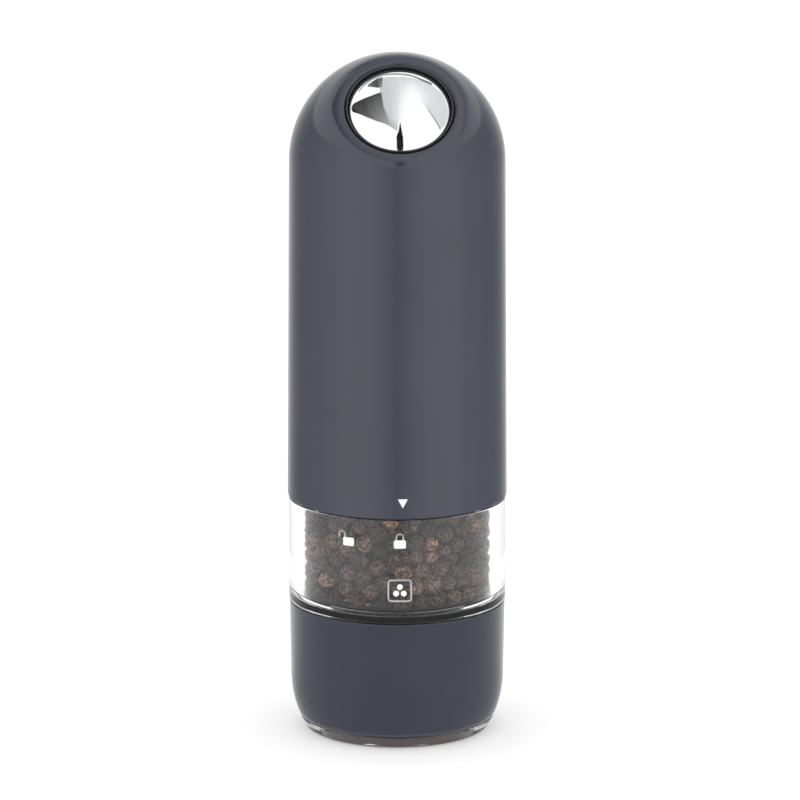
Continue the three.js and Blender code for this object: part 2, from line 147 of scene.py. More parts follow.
def node(tree, kind, **values):
    n = tree.nodes.new(kind)
    for key, value in values.items():
        if key in n.inputs:
            n.inputs[key].default_value = value
        else:
            setattr(n, key, value)
    return n


def noise(tree, scale, detail=3.0, roughness=0.55, stretch=(1, 1, 1)):
    """Object-space noise; a stretch under 1 on an axis draws it out along that axis."""
    coords = node(tree, "ShaderNodeTexCoord")
    mapping = node(tree, "ShaderNodeMapping")
    mapping.inputs["Scale"].default_value = stretch
    tree.links.new(coords.outputs["Object"], mapping.inputs["Vector"])
    n = node(tree, "ShaderNodeTexNoise", Scale=scale, Detail=detail, Roughness=roughness)
    tree.links.new(mapping.outputs["Vector"], n.inputs["Vector"])
    return n.outputs["Fac"]


def ramp(tree, source, stops):
    """Colours or greys at the given positions of a 0 to 1 value."""
    r = node(tree, "ShaderNodeValToRGB")
    while len(r.color_ramp.elements) < len(stops):
        r.color_ramp.elements.new(0.5)
    for element, (at, value) in zip(r.color_ramp.elements, stops):
        element.position = at
        colour = value if isinstance(value, tuple) else (value, value, value)
        element.color = (*colour, 1)
    tree.links.new(source, r.inputs["Fac"])
    return r.outputs["Color"]


def bumped(tree, shader, source, strength, distance):
    b = node(tree, "ShaderNodeBump", Strength=strength, Distance=distance)
    tree.links.new(source, b.inputs["Height"])
    tree.links.new(b.outputs["Normal"], shader.inputs["Normal"])


def shaded(colour, factor):
    return tuple(c * factor for c in colour)


def moulded(name, colour, roughness, grain=900, depth=0.00004, variation=0.12, **more):
    """Moulded plastic: slight mottling, uneven gloss and a fine surface grain."""
    m, tree, shader = material(name, roughness=roughness, **more)
    cloud = noise(tree, 60, 4)
    tint = ramp(tree, cloud, [(0.3, shaded(colour, 1 - variation)), (0.7, shaded(colour, 1 + variation))])
    tree.links.new(tint, shader.inputs["Base Color"])
    gloss = ramp(tree, noise(tree, 140, 5), [(0.25, roughness * 0.8), (0.8, min(1.0, roughness * 1.3))])
    tree.links.new(gloss, shader.inputs["Roughness"])
    bumped(tree, shader, noise(tree, grain, 4), 0.25, depth)
    return m


def metal(name, colour, roughness, stretch=(1, 1, 1), scale=700, depth=0.00003):
    """Metal with drawn or turned marks and small stains."""
    m, tree, shader = material(name, metallic=1.0, roughness=roughness)
    marks = noise(tree, scale, 5, stretch=stretch)
    tint = ramp(tree, noise(tree, 90, 4), [(0.3, shaded(colour, 0.86)), (0.7, shaded(colour, 1.06))])
    tree.links.new(tint, shader.inputs["Base Color"])
    gloss = ramp(tree, marks, [(0.3, roughness * 0.7), (0.75, roughness * 1.5)])
    tree.links.new(gloss, shader.inputs["Roughness"])
    bumped(tree, shader, marks, 0.3, depth)
    return m


def slate_gloss():
    """High-gloss slate grey shell: faint pigment mottling, orange peel and a few wiped hairlines."""
    m, tree, shader = material("slate_gloss", roughness=0.12, specular=0.62)
    colour = (0.0365, 0.0415, 0.060)
    tint = ramp(tree, noise(tree, 35, 5), [(0.3, shaded(colour, 0.93)), (0.7, shaded(colour, 1.07))])
    tree.links.new(tint, shader.inputs["Base Color"])
    wiped = noise(tree, 260, 6, 0.7, stretch=(1, 1, 0.08))
    tree.links.new(ramp(tree, wiped, [(0.35, 0.09), (0.7, 0.16)]), shader.inputs["Roughness"])
    bumped(tree, shader, noise(tree, 220, 2), 0.06, 0.00006)
    return m


def clear_acrylic():
    """Thick polished acrylic with the faintest tint and a few moulding ripples."""
    m, tree, shader = material("clear_acrylic", roughness=0.0)
    shader.inputs["IOR"].default_value = 1.49
    shader.inputs["Transmission Weight"].default_value = 1.0
    tint = ramp(tree, noise(tree, 25, 2), [(0.3, (0.975, 0.98, 0.985)), (0.7, (0.99, 0.992, 0.995))])
    tree.links.new(tint, shader.inputs["Base Color"])
    bumped(tree, shader, noise(tree, 60, 2), 0.02, 0.00005)
    return m


def chrome_finish():
    """Bright chrome with very faint polishing haze."""
    m, tree, shader = material("button_chrome", metallic=1.0, roughness=0.03)
    tint = ramp(tree, noise(tree, 120, 4), [(0.3, (0.90, 0.905, 0.92)), (0.7, (0.95, 0.955, 0.965))])
    tree.links.new(tint, shader.inputs["Base Color"])
    tree.links.new(ramp(tree, noise(tree, 500, 5), [(0.35, 0.02), (0.7, 0.05)]), shader.inputs["Roughness"])
    bumped(tree, shader, noise(tree, 70, 2), 0.03, 0.00005)
    return m


def pepper_skin():
    """Black peppercorn skin: each corn has its own tone; dark and pale specks paint shade into the folds and
    highlights onto the ridges.
    """
    m, tree, shader = material("pepper_skin", roughness=0.75, specular=0.3)
    own = node(tree, "ShaderNodeAttribute", attribute_name="corn_tone")
    base = ramp(tree, own.outputs["Fac"], [
        (0.0, (0.055, 0.040, 0.038)), (0.45, (0.15, 0.105, 0.094)),
        (0.8, (0.30, 0.20, 0.16)), (1.0, (0.60, 0.35, 0.22)),
    ])
    # painted shade and painted highlight: dark specks darken the skin, pale specks brighten it up to 1.8
    # times
    fold_shade_and_highlight = ramp(tree, noise(tree, 1300, 6, 0.7), [(0.42, (0.05, 0.045, 0.045)), (0.60, (1.8, 1.7, 1.62))])
    mix = node(tree, "ShaderNodeMix", data_type="RGBA", blend_type="MULTIPLY")
    mix.inputs[0].default_value = 0.95
    tree.links.new(base, mix.inputs[6])
    tree.links.new(fold_shade_and_highlight, mix.inputs[7])
    tree.links.new(mix.outputs[2], shader.inputs["Base Color"])
    bumped(tree, shader, noise(tree, 1100, 6, 0.7), 1.0, 0.0008)
    return m


def painted_reflection_skin():
    """Painted reflection and painted shade: a mauve-brown sheet standing in for the pepper's colour carried
    down the clear body and the shade under the foot, with dark and pale specks.
    """
    m, tree, shader = material("painted_reflection_skin", roughness=0.9, specular=0.2)
    # painted reflection and shade: mauve-brown colour that the foot ring shows by light, not by any coating
    tint = ramp(tree, noise(tree, 2600, 6, 0.75), [
        (0.3, (0.035, 0.019, 0.020)), (0.5, (0.105, 0.058, 0.061)), (0.7, (0.21, 0.125, 0.125)),
    ])
    tree.links.new(tint, shader.inputs["Base Color"])
    bumped(tree, shader, noise(tree, 2200, 6, 0.7), 0.8, 0.0002)
    return m


def white_print():
    m, tree, shader = material("white_print", roughness=0.45)
    tint = ramp(tree, noise(tree, 800, 4), [(0.3, (0.86, 0.86, 0.86)), (0.7, (0.95, 0.95, 0.95))])
    tree.links.new(tint, shader.inputs["Base Color"])
    bumped(tree, shader, noise(tree, 2500, 3), 0.15, 0.00001)
    return m


def circuit_green():
    """Solder mask with copper tracks showing through as lighter lines."""
    m, tree, shader = material("circuit_green", roughness=0.35)
    coords = node(tree, "ShaderNodeTexCoord")
    bricks = node(tree, "ShaderNodeTexBrick", Scale=260.0)
    bricks.inputs["Color1"].default_value = (0.012, 0.09, 0.035, 1)
    bricks.inputs["Color2"].default_value = (0.018, 0.12, 0.05, 1)
    bricks.inputs["Mortar"].default_value = (0.05, 0.24, 0.1, 1)
    tree.links.new(coords.outputs["Object"], bricks.inputs["Vector"])
    tree.links.new(bricks.outputs["Color"], shader.inputs["Base Color"])
    tree.links.new(ramp(tree, noise(tree, 300, 3), [(0.3, 0.28), (0.7, 0.45)]), shader.inputs["Roughness"])
    bumped(tree, shader, bricks.outputs["Fac"], 0.3, 0.00005)
    return m


def cell_wrap():
    """Battery sleeve: a bronze band at the top and a dark blue body, with a plain ring between."""
    m, tree, shader = material("cell_wrap", roughness=0.3)
    coords = node(tree, "ShaderNodeTexCoord")
    split = node(tree, "ShaderNodeSeparateXYZ")
    tree.links.new(coords.outputs["Object"], split.inputs["Vector"])
    span = node(tree, "ShaderNodeMapRange")
    lo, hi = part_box("cell_1")
    span.inputs["From Min"].default_value = lo[2]
    span.inputs["From Max"].default_value = hi[2]
    tree.links.new(split.outputs["Z"], span.inputs["Value"])
    bands = ramp(tree, span.outputs["Result"], [
        (0.0, (0.02, 0.03, 0.06)), (0.68, (0.02, 0.035, 0.07)), (0.69, (0.55, 0.55, 0.52)),
        (0.715, (0.30, 0.14, 0.05)), (0.97, (0.33, 0.16, 0.06)), (1.0, (0.5, 0.5, 0.5)),
    ])
    tree.links.new(bands, shader.inputs["Base Color"])
    tree.links.new(ramp(tree, noise(tree, 400, 3), [(0.3, 0.22), (0.7, 0.36)]), shader.inputs["Roughness"])
    bumped(tree, shader, noise(tree, 900, 3), 0.1, 0.00002)
    return m


finishes = {
    "slate_cover": slate_gloss(),
    "clear_acrylic": clear_acrylic(),
    "black_plastic": moulded("black_nylon", (0.018, 0.019, 0.021), 0.45),
    "bezel_black": moulded("bezel_satin", (0.02, 0.021, 0.024), 0.22, grain=500, depth=0.00002),
    "grey_plastic": moulded("grey_moulding", (0.22, 0.225, 0.235), 0.5),
    "chrome": chrome_finish(),
    "steel": metal("bare_steel", (0.56, 0.57, 0.58), 0.3, stretch=(1, 1, 0.15)),
    "brass": metal("turned_brass", (0.72, 0.55, 0.28), 0.28),
    "rubber": moulded("black_rubber", (0.012, 0.012, 0.012), 0.7),
    "nylon": moulded("natural_nylon", (0.72, 0.70, 0.64), 0.45),
    "board_green": circuit_green(),
    "cell_wrap": cell_wrap(),
    "red_plastic": moulded("red_plastic", (0.40, 0.03, 0.02), 0.4),
}
slots = {s["node"]: s["material_slot"] for s in frame["record"]["subparts"]}
for name, obj in frame["nodes"].items():
    obj.data.materials.clear()
    obj.data.materials.append(finishes[slots[name]])


# ---------------------------------------------------------------- mesh helpers
def finished(name, verts, faces, finish, body, sharp=35, smooth=True):
    """A mesh object with outward normals, riding on a CAD body."""
    mesh = bpy.data.meshes.new(name)
    mesh.from_pydata([tuple(v) for v in verts], [], faces)
    bm = bmesh.new()
    bm.from_mesh(mesh)
    bmesh.ops.recalc_face_normals(bm, faces=bm.faces)
    bm.to_mesh(mesh)
    bm.free()
    if smooth:
        mesh.polygons.foreach_set("use_smooth", [True] * len(mesh.polygons))
        mesh.set_sharp_from_angle(angle=math.radians(sharp))
    mesh.materials.append(finish)
    obj = bpy.data.objects.new(name, mesh)
    bpy.context.scene.collection.objects.link(obj)
    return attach(obj, body)


def rounded(profile, radius, closed=True, steps=3):
    """The profile with each corner replaced by a short curve.

    A holding point beside each curve keeps the shading of the long walls straight.
    """
    out = []
    count = len(profile)
    for i, corner in enumerate(profile):
        if not closed and i in (0, count - 1):
            out.append(corner)
            continue
        here = Vector(corner)
        before = Vector(profile[i - 1]) - here
        after = Vector(profile[(i + 1) % count]) - here
        if before.angle(after) > math.radians(165):
            out.append(corner)
            continue
        reach = min(radius, before.length * 0.4, after.length * 0.4)
        a = here + before.normalized() * reach
        b = here + after.normalized() * reach
        if before.length > 4 * reach:
            out.append(tuple(a + before.normalized() * reach * 0.25))
        for k in range(steps + 1):
            t = k / steps
            out.append(tuple(a * (1 - t) ** 2 + here * 2 * t * (1 - t) + b * t * t))
        if after.length > 4 * reach:
            out.append(tuple(b + after.normalized() * reach * 0.25))
    return out


def revolved(name, profile, finish, body, around=AROUND, place=None, **look):
    """A turned piece from a [radius, height] profile in millimetres; ends on the axis close at a pole."""
    verts, faces, rings = [], [], []
    for r, z in profile:
        if r < 1e-6:
            rings.append([len(verts)])
            verts.append(Vector((0, 0, z * MM)))
            continue
        rings.append(list(range(len(verts), len(verts) + around)))
        for k in range(around):
            a = math.tau * k / around
            verts.append(Vector((r * MM * math.cos(a), r * MM * math.sin(a), z * MM)))
    pairs = list(zip(rings, rings[1:]))
    if len(rings[0]) > 1 and len(rings[-1]) > 1:
        pairs.append((rings[-1], rings[0]))
    for low, high in pairs:
        for k in range(around):
            j = (k + 1) % around
            if len(low) == 1:
                faces.append((low[0], high[j], high[k]))
            elif len(high) == 1:
                faces.append((low[k], low[j], high[0]))
            else:
                faces.append((low[k], low[j], high[j], high[k]))
    if place is not None:
        verts = [place @ v for v in verts]
    return finished(name, verts, faces, finish, body, **look)


def arc(centre, radius, start, stop, steps):
    """Points of a circle in profile space, angles in degrees."""
    return [
        (centre[0] + radius * math.cos(math.radians(a)), centre[1] + radius * math.sin(math.radians(a)))
        for a in np.linspace(start, stop, steps + 1)
    ]


def stand_in(obj, cad_node):
    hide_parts(cad_node)
    return obj


# ---------------------------------------------------------------- turned shells
def shell_radius(z):
    if z >= SHELL_STRAIGHT_Z:
        t = (z - SHELL_STRAIGHT_Z) / (WINDOW_Z0 - SHELL_STRAIGHT_Z)
        return SHELL_STRAIGHT_R + (SHELL_TOP_R - SHELL_STRAIGHT_R) * t
    t = (SHELL_STRAIGHT_Z - z) / (SHELL_STRAIGHT_Z - SHELL_FOOT_Z)
    return SHELL_STRAIGHT_R - (SHELL_STRAIGHT_R - SHELL_FOOT_R) * t**2.4


def lower_shell():
    top = WINDOW_Z0 - 0.3
    side = [(shell_radius(z), z) for z in np.linspace(SHELL_FOOT_Z, SHELL_STRAIGHT_Z, 16)]
    inner = [
        (SHELL_INNER_R, top), (SHELL_INNER_R, SHELL_INNER_Z), (SHELL_THROAT_R, SHELL_FLOOR_Z),
        (SHELL_OPENING_R, SHELL_FLOOR_Z), (SHELL_OPENING_R, SHELL_FOOT_Z),
    ]
    profile = rounded([*side, (SHELL_TOP_R, top), *inner], 0.22)
    stand_in(revolved("shell_lower", profile, finishes["slate_cover"], "base"), "lower_shell")


def clear_body():
    profile = [
        (LEDGE_R, LEDGE_Z0), (LEDGE_R, CHAMBER_Z0), (CHAMBER_R, CHAMBER_Z0), (CHAMBER_R, NECK_Z1),
        (NECK_R, NECK_Z1), (NECK_R, WINDOW_Z1), (WINDOW_R, WINDOW_Z1), (WINDOW_R, WINDOW_Z0),
        (NECK_R, WINDOW_Z0), (NECK_R, SKIRT_CHAMFER_Z), (SKIRT_CHAMFER_R, SKIRT_Z0),
        (SKIRT_BORE_R, SKIRT_Z0), (SKIRT_BORE_R, LEDGE_Z0),
    ]
    obj = revolved("body_clear", rounded(profile, 0.3), finishes["clear_acrylic"], "base", around=224)
    stand_in(obj, "clear_body")


def foot_ring():
    profile = [
        (FOOT_BORE_R, SHELL_FLOOR_Z), (FOOT_BORE_R, 0.0), (FOOT_SOLE_R, 0.0), (FOOT_EDGE_R, FOOT_EDGE_Z),
        (FOOT_TOP_R, FOOT_TOP_Z), (FOOT_SPIGOT_R, FOOT_TOP_Z), (FOOT_SPIGOT_R, SHELL_FLOOR_Z),
    ]
    stand_in(revolved("ring_foot", rounded(profile, 0.2), finishes["clear_acrylic"], "base"), "foot_ring")


def foot_bore_painted_tint():
    """Sheet of painted reflection and painted shade on the foot's bore, with an uneven lower edge."""
    outer = FOOT_BORE_R - 0.05
    low, top = 0.6, 5.2
    profile = [(outer - 0.3, low + 0.3), (outer, low), (outer, top), (outer - 0.2, top)]
    # painted reflection and shade: this sheet stands in for pepper colour and shade seen through the foot
    # ring
    film = revolved("film_painted_reflection", rounded(profile, 0.1), painted_reflection_skin(), "base")
    for v in film.data.vertices:
        a = math.atan2(v.co.y, v.co.x)
        wave = math.sin(5 * a) + 0.6 * math.sin(13 * a + 1) + 0.4 * math.sin(29 * a + 2)
        v.co.z += 0.15 * MM * wave * (1 - v.co.z / (top * MM))


# ---------------------------------------------------------------- cover with its pressed flat
def dome_point(direction, radius, inset):
    """A point of the dome in that direction, pressed in where the flat round the button is."""
    along = direction.dot(button_axis)
    if along <= 0.05:
        return direction * radius
    flat = (FACET_W - inset) / along
    blend = max(FACET_SOFTNESS - abs(radius - flat), 0) / FACET_SOFTNESS
    return direction * (min(radius, flat) - blend * blend * FACET_SOFTNESS / 4)


def cover_shell():
    side_step = Vector((1, 0, 0))
    up_step = button_axis.cross(side_step)
    dome_centre = Vector((0, 0, DOME_Z))
    inner_r = DOME_R - COVER_WALL

    def hole_ring(radius, height):
        ring = []
        for k in range(AROUND):
            a = math.tau * k / AROUND
            across = side_step * radius * math.cos(a) + up_step * radius * math.sin(a)
            ring.append(across + button_axis * height)
        return ring

    def dome_rings(first, radius, inset, steps):
        rings = []
        for s in range(1, steps + 1):
            t = s / steps
            ring = []
            for k in range(AROUND):
                a = math.tau * k / AROUND
                start = first[k].normalized()
                end = Vector((math.cos(a), math.sin(a), 0))
                ring.append(dome_point(start.slerp(end, t), radius, inset))
            rings.append(ring)
        return rings

    def level_ring(radius, z):
        ring = []
        for k in range(AROUND):
            a = math.tau * k / AROUND
            ring.append(Vector((radius * math.cos(a), radius * math.sin(a), z - DOME_Z)))
        return ring

    def wall_rings(top_r, edge_r, parts):
        drop = COVER_EDGE_Z - DOME_Z
        return [level_ring(top_r + (edge_r - top_r) * f, DOME_Z + drop * f) for f in parts]

    outer_edge = hole_ring(HOLE_R + 0.12, FACET_W)
    inner_edge = hole_ring(HOLE_R + 0.05, FACET_W - COVER_WALL)
    low_in = COVER_EDGE_R - COVER_WALL
    above = COVER_EDGE_Z + 30
    lip = [(COVER_EDGE_R, above), (COVER_EDGE_R, COVER_EDGE_Z), (low_in, COVER_EDGE_Z), (low_in, above)]
    lip = rounded(lip, 0.35, closed=False, steps=4)[1:-1]
    rings = [
        hole_ring(HOLE_R, FACET_W - 0.12), outer_edge, *dome_rings(outer_edge, DOME_R, 0, 56),
        *wall_rings(DOME_R, COVER_EDGE_R, (0.25, 0.5, 0.75, 0.97)),
        *[level_ring(r, z) for r, z in lip],
        *wall_rings(inner_r, low_in, (0.7, 0.3)),
        *reversed(dome_rings(inner_edge, inner_r, COVER_WALL, 30)), inner_edge,
    ]
    verts = [(dome_centre + p) * MM for ring in rings for p in ring]
    faces = []
    for i in range(len(rings)):
        j = (i + 1) % len(rings)
        for k in range(AROUND):
            n = (k + 1) % AROUND
            faces.append((i * AROUND + k, i * AROUND + n, j * AROUND + n, j * AROUND + k))
    shell = finished("shell_cover", verts, faces, finishes["slate_cover"], "cover", sharp=50)
    stand_in(shell, "cover_shell")


def cover_ribs():
    """Pairs of drive ribs inside the cover, one on each side of every lug of the lock ring."""
    box = ((0, 1, 3, 2), (4, 6, 7, 5), (0, 4, 5, 1), (2, 3, 7, 6), (0, 2, 6, 4), (1, 5, 7, 3))
    verts, faces = [], []
    for angle in RIB_ANGLES:
        turn = Matrix.Rotation(math.radians(angle), 3, "Z")
        for side in (-RIB_OFFSET, RIB_OFFSET):
            base = len(verts)
            for x in RIB_R:
                for y in (side - RIB_HALF_THICKNESS, side + RIB_HALF_THICKNESS):
                    for z in RIB_Z:
                        verts.append(turn @ Vector((x, y, z)) * MM)
            faces += [tuple(base + i for i in face) for face in box]
    ribs = finished("cover_drive_ribs", verts, faces, finishes["slate_cover"], "cover", smooth=False)


# ---------------------------------------------------------------- button
def button():
    dome_r = (BUTTON_R**2 + BUTTON_RISE**2) / (2 * BUTTON_RISE)
    half = math.degrees(math.asin(BUTTON_R / dome_r))
    crown = arc((0, BUTTON_EDGE_W + BUTTON_RISE - dome_r), dome_r, 90, 90 - half, 22)
    crown[0] = (0.0, crown[0][1])
    edge = arc((BUTTON_R - 0.25, BUTTON_EDGE_W - 0.2), 0.25, 60, 0, 4)
    skirt = [(BUTTON_R, CAP_SKIRT_W), (CAP_WALL_R, CAP_SKIRT_W)]
    profile = [*crown[:-1], *edge, *skirt, (CAP_WALL_R, CAP_INNER_W), (0.0, CAP_INNER_W)]
    stand_in(revolved("cap_chrome", profile, finishes["chrome"], "button", place=to_button), "button_cap")

    bore = BUTTON_R + 0.3
    ring = [
        (bore, BEZEL_FLANGE_W0), (BEZEL_FLANGE_R, BEZEL_FLANGE_W0), (BEZEL_FLANGE_R, BEZEL_FLANGE_W1),
        (BEZEL_R, BEZEL_NECK_W), (BEZEL_R, BEZEL_TOP_W), (bore, BEZEL_TOP_W),
    ]
    bezel = revolved("ring_bezel", rounded(ring, 0.18), finishes["bezel_black"], "cover", place=to_button)
    stand_in(bezel, "button_bezel")


lower_shell()
clear_body()
foot_ring()
foot_bore_painted_tint()
cover_shell()
cover_ribs()
button()


# ---------------------------------------------------------------- printed marks
def wrapped(name, patches, radius, centre_deg, centre_z, body, thick=0.05):
    """Thin printed shapes laid on a cylinder. Each patch is a list of (across, low, high) columns in mm."""
    verts, faces = [], []
    for columns in patches:
        start = len(verts)
        for x, low, high in columns:
            a = math.radians(centre_deg) + x / radius
            for r in (radius + 0.012, radius + thick):
                for z in (low, high):
                    verts.append(Vector((r * math.sin(a), -r * math.cos(a), centre_z + z)) * MM)
        for c in range(len(columns) - 1):
            a, b = start + 4 * c, start + 4 * (c + 1)
            faces += [
                (a, b, b + 1, a + 1), (a + 2, a + 3, b + 3, b + 2),
                (a, a + 2, b + 2, b), (a + 1, b + 1, b + 3, a + 3),
            ]
        last = start + 4 * (len(columns) - 1)
        faces += [(start, start + 1, start + 3, start + 2), (last, last + 2, last + 3, last + 1)]
    return finished(name, verts, faces, print_white, body, smooth=False)


def block_patch(x, z, width, height, corner=0.0, steps=6):
    """A rounded rectangle as columns."""
    columns = []
    for s in [*np.linspace(0, corner, steps), *np.linspace(width - corner, width, steps)]:
        inset = min(s, width - s)
        drop = corner - math.sqrt(max(corner**2 - (corner - inset) ** 2, 0)) if inset < corner else 0.0
        columns.append((x - width / 2 + s, z - height / 2 + drop, z + height / 2 - drop + 1e-4))
    return columns


def disc_patch(x, z, radius):
    return block_patch(x, z, 2 * radius, 2 * radius, radius, 9)


def stroke(points, width):
    """A line of given width as a run of short upright patches."""
    patches = []
    for (x0, z0), (x1, z1) in zip(points, points[1:]):
        length = math.hypot(x1 - x0, z1 - z0)
        steps = max(1, round(length / 0.12))
        for k in range(steps + 1):
            t = k / steps
            patches.append(disc_patch(x0 + (x1 - x0) * t, z0 + (z1 - z0) * t, width / 2)[::3])
    return patches


def arch(x, z, radius, start, stop, steps=14):
    return [(x + radius * math.cos(math.radians(a)), z + radius * math.sin(math.radians(a)))
            for a in np.linspace(start, stop, steps)]


print_white = white_print()


def padlock(name, centre_deg, centre_z, is_open):
    body = [block_patch(0, -0.85, 2.95, 2.1, 0.35)]
    if is_open:
        shackle = [(-0.95, 0.25), *arch(-1.75, 0.9, 0.8, 0, 180), (-2.55, 0.35)]
    else:
        shackle = [(0.85, 0.2), *arch(0, 0.9, 0.85, 0, 180), (-0.85, 0.2)]
    wrapped(name, body + stroke(shackle, 0.42), WINDOW_R, centre_deg, centre_z, "base")


def pepper_badge():
    """Plain boxed mark: a rounded frame round three peppercorns."""
    half_w, half_h, corner = 2.8, 2.65, 0.7
    x, z = half_w - corner, half_h - corner
    outline = []
    for quarter, (cx, cz) in enumerate(((x, z), (-x, z), (-x, -z), (x, -z))):
        outline += arch(cx, cz, corner, 90 * quarter, 90 * quarter + 90, 6)
    outline.append(outline[0])
    corns = [disc_patch(-0.95, -0.7, 0.72), disc_patch(0.95, -0.7, 0.72), disc_patch(0, 0.95, 0.72)]
    wrapped("mark_badge", stroke(outline, 0.42) + corns, WINDOW_R, MARK_TURN, BADGE_Z, "base")


def pointer():
    """Triangle on the cover, pointing down at the locks."""
    half_w, half_h = 1.22, 1.15
    columns = []
    for x in np.linspace(-half_w, half_w, 13):
        columns.append((x, -half_h + 2 * half_h * abs(x) / half_w - 1e-4, half_h))
    wrapped("mark_pointer", [columns], COVER_EDGE_R - 0.02, POINTER_TURN, POINTER_Z, "cover")


padlock("mark_closed", MARK_TURN, LOCK_MARK_Z, is_open=False)
padlock("mark_open", OPEN_MARK_TURN, LOCK_MARK_Z, is_open=True)
pepper_badge()
pointer()


# ---------------------------------------------------------------- peppercorns
def corn_places(count, inside, radius, low, high, seed=7):
    """Corn centres in a ring of the chamber, pushed apart until they pack."""
    rng = np.random.default_rng(seed)
    size = rng.uniform(1.75, 2.45, count)
    angle = rng.uniform(0, math.tau, count)
    reach = np.sqrt(rng.uniform(inside**2, radius**2, count))
    p = np.stack([reach * np.cos(angle), reach * np.sin(angle), rng.uniform(low, high, count)], 1)
    for _ in range(260):
        gap = p[:, None, :] - p[None, :, :]
        dist = np.linalg.norm(gap, axis=2) + np.eye(count) * 99
        overlap = np.clip(size[:, None] + size[None, :] - dist, 0, None)
        p += 0.32 * (gap / dist[..., None] * overlap[..., None]).sum(1)
        p[:, 2] -= 0.02
        flat = np.linalg.norm(p[:, :2], axis=1)
        wanted = np.clip(flat, inside + size, radius - 0.12 - size)
        p[:, :2] *= (wanted / np.maximum(flat, 1e-6))[:, None]
        p[:, 2] = np.clip(p[:, 2], low + size, high - size * 0.6)
    return p, size


def corn_shape(seed, detail=3):
    """One wrinkled corn of unit radius."""
    rng = np.random.default_rng(seed)
    bm = bmesh.new()
    bmesh.ops.create_icosphere(bm, subdivisions=detail, radius=1.0)
    v = np.array([list(x.co) for x in bm.verts])
    f = [[x.index for x in face.verts] for face in bm.faces]
    bm.free()
    push = np.zeros(len(v))
    for _ in range(9):
        way = rng.normal(size=3)
        way /= np.linalg.norm(way)
        bend = rng.normal(size=3) * 1.4
        wave = v @ way * rng.uniform(5, 9) + np.sin(v @ bend * 2.2) * 1.6 + rng.uniform(0, 6)
        push += np.abs(np.sin(wave)) - 0.6
    push /= np.abs(push).max()
    return v * (0.96 + 0.085 * push)[:, None] * rng.uniform(0.93, 1.04, 3), f


def paler(place):
    """Extra tone of the corns in a tan patch behind the front of the window."""
    x, y, z = place
    if y > 0:
        return 0.0
    patch_x, patch_z, spread = 5.5, 46, 30
    return 0.5 * math.exp(-((x - patch_x) ** 2 + (z - patch_z) ** 2) / spread)


def peppercorns():
    places, sizes = corn_places(620, PEPPER_INNER_R, CHAMBER_R, CHAMBER_Z0 + 0.05, PEPPER_TOP_Z)
    shapes = [corn_shape(seed) for seed in range(12)]
    rng = np.random.default_rng(3)
    verts, faces, tones = [], [], []
    base = 0
    for place, size in zip(places, sizes):
        shape, tris = shapes[rng.integers(len(shapes))]
        q, _ = np.linalg.qr(rng.normal(size=(3, 3)))
        if np.linalg.det(q) < 0:
            q[:, 0] *= -1
        verts.append((shape @ q.T * size * 0.985 + place) * MM)
        faces += [tuple(base + i for i in t) for t in tris]
        tones += [min(1.0, rng.beta(1.6, 2.6) + paler(place))] * len(shape)
        base += len(shape)
    obj = finished("peppercorns", np.concatenate(verts), faces, pepper_skin(), "base", sharp=180)
    attribute = obj.data.attributes.new("corn_tone", "FLOAT", "POINT")
    attribute.data.foreach_set("value", tones)


peppercorns()


# ---------------------------------------------------------------- stage, light, camera
def glow_card(name, verts, faces, strengths):
    """A studio card seen only in reflections, with its own brightness at each corner."""
    mesh = bpy.data.meshes.new(name)
    mesh.from_pydata(verts, [], faces)
    glow = mesh.attributes.new("card_glow", "FLOAT", "POINT")
    glow.data.foreach_set("value", strengths)
    mesh.materials.append(card_finish)
    obj = bpy.data.objects.new(name, mesh)
    bpy.context.scene.collection.objects.link(obj)
    for ray in ("camera", "diffuse", "transmission", "volume_scatter", "shadow"):
        setattr(obj, "visible_" + ray, False)
    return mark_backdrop(obj)


def card_material():
    m = bpy.data.materials.new("studio_card")
    m.use_nodes = True
    tree = m.node_tree
    tree.nodes.clear()
    own = node(tree, "ShaderNodeAttribute", attribute_name="card_glow")
    glow = node(tree, "ShaderNodeEmission")
    glow.inputs["Color"].default_value = (0.99, 0.995, 1.0, 1)
    out = node(tree, "ShaderNodeOutputMaterial")
    tree.links.new(own.outputs["Fac"], glow.inputs["Strength"])
    tree.links.new(glow.outputs["Emission"], out.inputs["Surface"])
    return m


card_finish = card_material()


def overhead(name, columns, drop=0.0):
    """A panel of the light tent over the mill: columns of (x, y, brightness) points in metres."""
    height = TENT_TOP - drop
    rows = len(columns[0])
    verts = [(x, y, height) for column in columns for x, y, _ in column]
    strengths = [glow for column in columns for _, _, glow in column]
    faces = []
    for i in range(len(columns) - 1):
        for j in range(rows - 1):
            a, b = rows * i + j, rows * (i + 1) + j
            faces.append((a, a + 1, b + 1, b))
    glow_card(name, verts, faces, strengths)


def tent_ring(name, low, high, stops):
    """A ring of the tent round the mill, between two (radius, height) rims.

    `stops` gives the brightness by the angle from the camera's side, the same to the left and right.
    """
    steps = 120
    at = [a for a, _ in stops]
    value = [b for _, b in stops]
    verts, strengths = [], []
    for k in range(steps):
        turn = math.tau * k / steps
        from_front = math.degrees(min(turn, math.tau - turn))
        for radius, height in (low, high):
            a = turn + CAMERA_TURN
            verts.append((radius * math.sin(a), -radius * math.cos(a), height))
            strengths.append(float(np.interp(from_front, at, value)))
    faces = [(2 * k, 2 * k + 1, (2 * k + 3) % (2 * steps), (2 * k + 2) % (2 * steps)) for k in range(steps)]
    glow_card(name, verts, faces, strengths)


